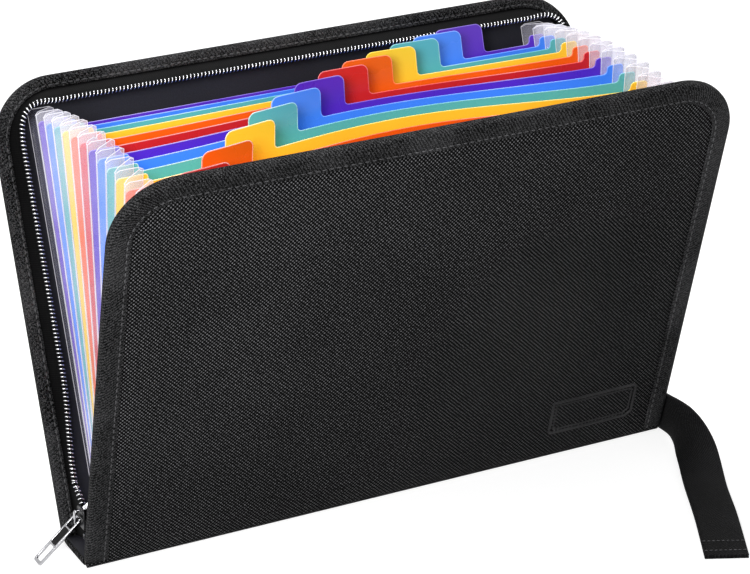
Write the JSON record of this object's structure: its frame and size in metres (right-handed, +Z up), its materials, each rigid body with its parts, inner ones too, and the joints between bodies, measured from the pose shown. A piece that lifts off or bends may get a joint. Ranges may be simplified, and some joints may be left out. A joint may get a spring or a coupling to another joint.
{
  "type": "zip-round expanding document file",
  "caption": "Zip-round expanding file standing open: two stiff fabric covers hinged to a flat base, tabbed coloured dividers with pleated clear sides, a zip and a wrist strap.",
  "frame": {"origin": "on the floor under the middle of the base", "axes": "+X along the base to the right, -Y to the front cover, +Z up"},
  "size_m": [0.3919, 0.2753, 0.2455],
  "materials": {
    "fabric": "black woven polyester, fine basket weave",
    "binding": "black grosgrain tape",
    "lining": "smooth charcoal lining",
    "board": "stiffening board, hidden",
    "webbing": "black webbing",
    "zip_metal": "bright silver",
    "pull_insert": "black",
    "clear_film": "milky clear polypropylene film",
    "film_red": "translucent red film",
    "film_orange": "translucent orange film",
    "film_yellow": "translucent yellow film",
    "film_teal": "translucent teal film",
    "film_blue": "translucent blue film",
    "film_purple": "translucent purple film"
  },
  "bodies": {
    "spine": {"spine_fabric": "fabric", "spine_board": "board", "spine_lining": "lining", "accordion_base": "clear_film", "gusset_left": "clear_film", "gusset_right": "clear_film", "zip_end_left": "binding", "zip_end_right": "binding", "zip_bottom_stop": "zip_metal"},
    "front_cover": {"front_cover_fabric": "fabric", "front_cover_board": "board", "front_cover_lining": "lining", "front_binding": "binding", "front_zip_tape": "binding", "front_zip_teeth": "zip_metal", "front_zip_stop": "zip_metal"},
    "back_cover": {"back_cover_fabric": "fabric", "back_cover_board": "board", "back_cover_lining": "lining", "back_binding": "binding", "back_zip_tape": "binding", "back_zip_teeth": "zip_metal", "back_zip_stop": "zip_metal"},
    "divider_01": {"divider_01": "film_red"},
    "divider_02": {"divider_02": "film_orange"},
    "divider_03": {"divider_03": "film_yellow"},
    "divider_04": {"divider_04": "film_teal"},
    "divider_05": {"divider_05": "film_blue"},
    "divider_06": {"divider_06": "film_purple"},
    "divider_07": {"divider_07": "film_red"},
    "divider_08": {"divider_08": "film_orange"},
    "divider_09": {"divider_09": "film_yellow"},
    "divider_10": {"divider_10": "film_teal"},
    "divider_11": {"divider_11": "film_blue"},
    "divider_12": {"divider_12": "film_purple"},
    "slider": {"zip_slider": "zip_metal"},
    "pull": {"zip_pull": "zip_metal", "zip_pull_insert": "pull_insert"},
    "strap": {"wrist_strap": "webbing"}
  },
  "joints": [
    {"name": "front_cover_hinge", "type": "hinge", "parent": "spine", "child": "front_cover", "pos_m": [0, -0.017, 0.002], "axis": [1, 0, 0], "range_deg": [-17.5, 17.5], "deforming": ["gusset_left", "gusset_right", "zip_end_left", "zip_end_right"]},
    {"name": "back_cover_hinge", "type": "hinge", "parent": "spine", "child": "back_cover", "pos_m": [0, 0.017, 0.002], "axis": [1, 0, 0], "range_deg": [-17.5, 17.5]},
    {"name": "divider_01_hinge", "type": "hinge", "parent": "spine", "child": "divider_01", "pos_m": [0, -0.01269, 0.0068], "axis": [1, 0, 0], "range_deg": [-14.82, 14.82]},
    {"name": "divider_02_hinge", "type": "hinge", "parent": "spine", "child": "divider_02", "pos_m": [0, -0.01038, 0.0068], "axis": [1, 0, 0], "range_deg": [-12.12, 12.12]},
    {"name": "divider_03_hinge", "type": "hinge", "parent": "spine", "child": "divider_03", "pos_m": [0, -0.00808, 0.0068], "axis": [1, 0, 0], "range_deg": [-9.43, 9.43]},
    {"name": "divider_04_hinge", "type": "hinge", "parent": "spine", "child": "divider_04", "pos_m": [0, -0.00577, 0.0068], "axis": [1, 0, 0], "range_deg": [-6.74, 6.74]},
    {"name": "divider_05_hinge", "type": "hinge", "parent": "spine", "child": "divider_05", "pos_m": [0, -0.00346, 0.0068], "axis": [1, 0, 0], "range_deg": [-4.05, 4.05]},
    {"name": "divider_06_hinge", "type": "hinge", "parent": "spine", "child": "divider_06", "pos_m": [0, -0.00115, 0.0068], "axis": [1, 0, 0], "range_deg": [-1.36, 1.36]},
    {"name": "divider_07_hinge", "type": "hinge", "parent": "spine", "child": "divider_07", "pos_m": [0, 0.00115, 0.0068], "axis": [1, 0, 0], "range_deg": [-1.36, 1.36]},
    {"name": "divider_08_hinge", "type": "hinge", "parent": "spine", "child": "divider_08", "pos_m": [0, 0.00346, 0.0068], "axis": [1, 0, 0], "range_deg": [-4.05, 4.05]},
    {"name": "divider_09_hinge", "type": "hinge", "parent": "spine", "child": "divider_09", "pos_m": [0, 0.00577, 0.0068], "axis": [1, 0, 0], "range_deg": [-6.74, 6.74]},
    {"name": "divider_10_hinge", "type": "hinge", "parent": "spine", "child": "divider_10", "pos_m": [0, 0.00808, 0.0068], "axis": [1, 0, 0], "range_deg": [-9.43, 9.43]},
    {"name": "divider_11_hinge", "type": "hinge", "parent": "spine", "child": "divider_11", "pos_m": [0, 0.01038, 0.0068], "axis": [1, 0, 0], "range_deg": [-12.12, 12.12]},
    {"name": "divider_12_hinge", "type": "hinge", "parent": "spine", "child": "divider_12", "pos_m": [0, 0.01269, 0.0068], "axis": [1, 0, 0], "range_deg": [-14.82, 14.82]},
    {"name": "slider_slide", "type": "slide", "parent": "spine", "child": "slider", "axis": [0, 0, 1], "range_m": [0, 0.175]},
    {"name": "pull_hinge", "type": "hinge", "parent": "slider", "child": "pull", "pos_m": [-0.1775, 0, 0.022], "axis": [0, 1, 0], "range_deg": [-35, 125]},
    {"name": "strap_root", "type": "hinge", "parent": "spine", "child": "strap", "pos_m": [0.1818, 0.006, 0.012], "axis": [0, 0, 1], "range_deg": [0, 80]}
  ],
  "couplings": [
    {"joint": "back_cover_hinge", "follows": "front_cover_hinge", "ratio": -1},
    {"joint": "divider_01_hinge", "follows": "front_cover_hinge", "ratio": 0.84615},
    {"joint": "divider_02_hinge", "follows": "front_cover_hinge", "ratio": 0.69231},
    {"joint": "divider_03_hinge", "follows": "front_cover_hinge", "ratio": 0.53846},
    {"joint": "divider_04_hinge", "follows": "front_cover_hinge", "ratio": 0.38461},
    {"joint": "divider_05_hinge", "follows": "front_cover_hinge", "ratio": 0.23077},
    {"joint": "divider_06_hinge", "follows": "front_cover_hinge", "ratio": 0.076923},
    {"joint": "divider_07_hinge", "follows": "front_cover_hinge", "ratio": -0.076923},
    {"joint": "divider_08_hinge", "follows": "front_cover_hinge", "ratio": -0.23077},
    {"joint": "divider_09_hinge", "follows": "front_cover_hinge", "ratio": -0.38461},
    {"joint": "divider_10_hinge", "follows": "front_cover_hinge", "ratio": -0.53846},
    {"joint": "divider_11_hinge", "follows": "front_cover_hinge", "ratio": -0.69231},
    {"joint": "divider_12_hinge", "follows": "front_cover_hinge", "ratio": -0.84615}
  ]
}
